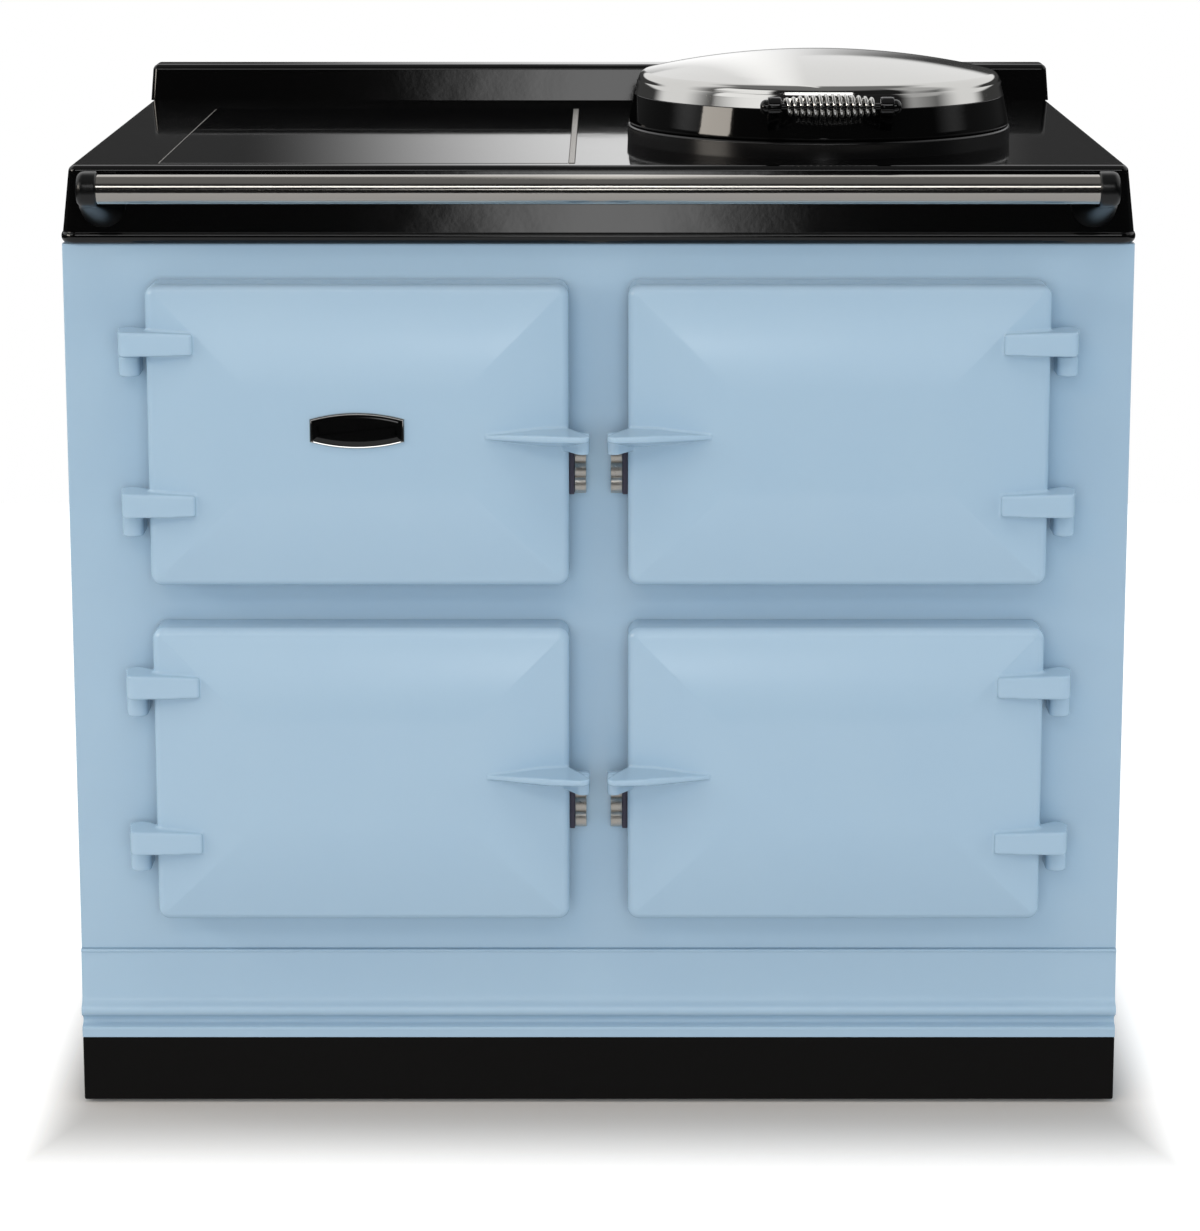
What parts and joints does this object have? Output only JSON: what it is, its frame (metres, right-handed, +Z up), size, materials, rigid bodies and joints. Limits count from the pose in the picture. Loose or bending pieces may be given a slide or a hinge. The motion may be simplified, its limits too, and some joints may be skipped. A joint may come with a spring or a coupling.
{
  "type": "range cooker",
  "caption": "Free-standing cast iron range cooker with hinged oven doors, an induction panel, and a hotplate under a hinged domed lid with a coil handle.",
  "frame": {"origin": "on the floor, under the middle of the cooker's whole box, towel rail and handles included", "axes": "+X to the cooker's right as seen from the front, +Y to the back, +Z up"},
  "size_m": [1.002, 0.777, 1.0003],
  "materials": {
    "foot_rubber": "moulded black rubber, matt",
    "galvanised_steel": "galvanised sheet with a faint spangle",
    "black_enamel": "gloss black vitreous enamel on cast iron",
    "blue_enamel": "gloss pale blue vitreous enamel on cast iron",
    "mineral_wool": "pressed mineral wool slab",
    "polished_steel": "polished stainless steel",
    "hob_ceramic": "black glass-ceramic hob panel, polished",
    "aluminium_sheet": "pressed aluminised sheet",
    "copper_winding": "wound copper litz, lacquered",
    "machined_iron": "machined cast iron",
    "grey_surround": "matt dark grey enamel",
    "element_sheath": "oxidised sheathed element",
    "chrome_plate": "polished chrome plate",
    "dark_steel": "dark oxidised steel",
    "woven_rope": "woven glass-fibre seal",
    "badge_enamel": "gloss black enamel in a bright rim, bare",
    "oven_enamel": "dark speckled oven enamel",
    "knob_plastic": "moulded black phenolic"
  },
  "bodies": {
    "root": {"levelling_feet": "foot_rubber", "base_pan": "galvanised_steel", "plinth": "black_enamel", "skirting": "blue_enamel", "chassis_frame": "galvanised_steel", "front_plate": "blue_enamel", "side_panels": "blue_enamel", "back_panel": "galvanised_steel", "cable_grommet": "foot_rubber", "insulation": "mineral_wool", "top_plate": "black_enamel", "upstand": "black_enamel", "towel_rail": "polished_steel", "rail_brackets": "black_enamel", "hob_glass": "hob_ceramic", "hob_strip": "polished_steel", "induction_tray": "aluminium_sheet", "induction_coils": "copper_winding", "hotplate": "machined_iron", "hotplate_surround": "grey_surround", "hotplate_element": "element_sheath", "lid_hinge_bracket": "black_enamel", "lid_hinge_pin": "polished_steel", "hinge_lugs": "blue_enamel", "hinge_pins": "polished_steel", "hinge_washers": "element_sheath", "door_catches": "polished_steel", "catch_brackets": "dark_steel", "roasting_oven": "oven_enamel", "baking_oven": "oven_enamel", "simmering_oven": "oven_enamel", "control_box": "oven_enamel", "panel_screws": "polished_steel"},
    "door_top_left": {"door_top_left": "blue_enamel", "liner_top_left": "aluminium_sheet", "seal_top_left": "woven_rope", "badge_plate": "badge_enamel"},
    "door_top_right": {"door_top_right": "blue_enamel", "liner_top_right": "aluminium_sheet", "seal_top_right": "woven_rope"},
    "door_bottom_left": {"door_bottom_left": "blue_enamel", "liner_bottom_left": "aluminium_sheet", "seal_bottom_left": "woven_rope"},
    "door_bottom_right": {"door_bottom_right": "blue_enamel", "liner_bottom_right": "aluminium_sheet", "seal_bottom_right": "woven_rope"},
    "lid": {"lid_shell": "chrome_plate", "lid_ring": "black_enamel", "lid_liner": "aluminium_sheet", "lid_insulation": "mineral_wool", "lid_hinge_arm": "black_enamel", "lid_handle_lugs": "black_enamel", "lid_handle_rod": "polished_steel", "lid_handle_coil": "chrome_plate"},
    "shelf_roasting": {"shelf_roasting": "polished_steel"},
    "shelf_baking": {"shelf_baking": "polished_steel"},
    "shelf_simmering": {"shelf_simmering": "polished_steel"},
    "knob_left": {"knob_left": "knob_plastic"},
    "knob_middle": {"knob_middle": "knob_plastic"},
    "knob_right": {"knob_right": "knob_plastic"}
  },
  "joints": [
    {"name": "door_top_left_hinge", "type": "hinge", "parent": "root", "child": "door_top_left", "pos_m": [-0.4365, -0.3255, 0.6645], "axis": [0, 0, -1], "range_deg": [0, 110]},
    {"name": "door_top_right_hinge", "type": "hinge", "parent": "root", "child": "door_top_right", "pos_m": [0.4365, -0.3255, 0.6645], "axis": [0, 0, 1], "range_deg": [0, 110]},
    {"name": "door_bottom_left_hinge", "type": "hinge", "parent": "root", "child": "door_bottom_left", "pos_m": [-0.4365, -0.3255, 0.3385], "axis": [0, 0, -1], "range_deg": [0, 110]},
    {"name": "door_bottom_right_hinge", "type": "hinge", "parent": "root", "child": "door_bottom_right", "pos_m": [0.4365, -0.3255, 0.3385], "axis": [0, 0, 1], "range_deg": [0, 110]},
    {"name": "lid_hinge", "type": "hinge", "parent": "root", "child": "lid", "pos_m": [0.217, 0.147, 0.943], "axis": [-1, 0, 0], "range_deg": [0, 82]},
    {"name": "shelf_roasting_slide", "type": "slide", "parent": "root", "child": "shelf_roasting", "axis": [0, -1, 0], "range_m": [0, 0.055]},
    {"name": "shelf_baking_slide", "type": "slide", "parent": "root", "child": "shelf_baking", "axis": [0, -1, 0], "range_m": [0, 0.055]},
    {"name": "shelf_simmering_slide", "type": "slide", "parent": "root", "child": "shelf_simmering", "axis": [0, -1, 0], "range_m": [0, 0.055]},
    {"name": "knob_left_turn", "type": "hinge", "parent": "root", "child": "knob_left", "pos_m": [-0.3185, -0.2405, 0.6645], "axis": [0, 1, 0], "range_deg": [0, 270]},
    {"name": "knob_middle_turn", "type": "hinge", "parent": "root", "child": "knob_middle", "pos_m": [-0.2235, -0.2405, 0.6645], "axis": [0, 1, 0], "range_deg": [0, 270]},
    {"name": "knob_right_turn", "type": "hinge", "parent": "root", "child": "knob_right", "pos_m": [-0.1285, -0.2405, 0.6645], "axis": [0, 1, 0], "range_deg": [0, 270]}
  ]
}
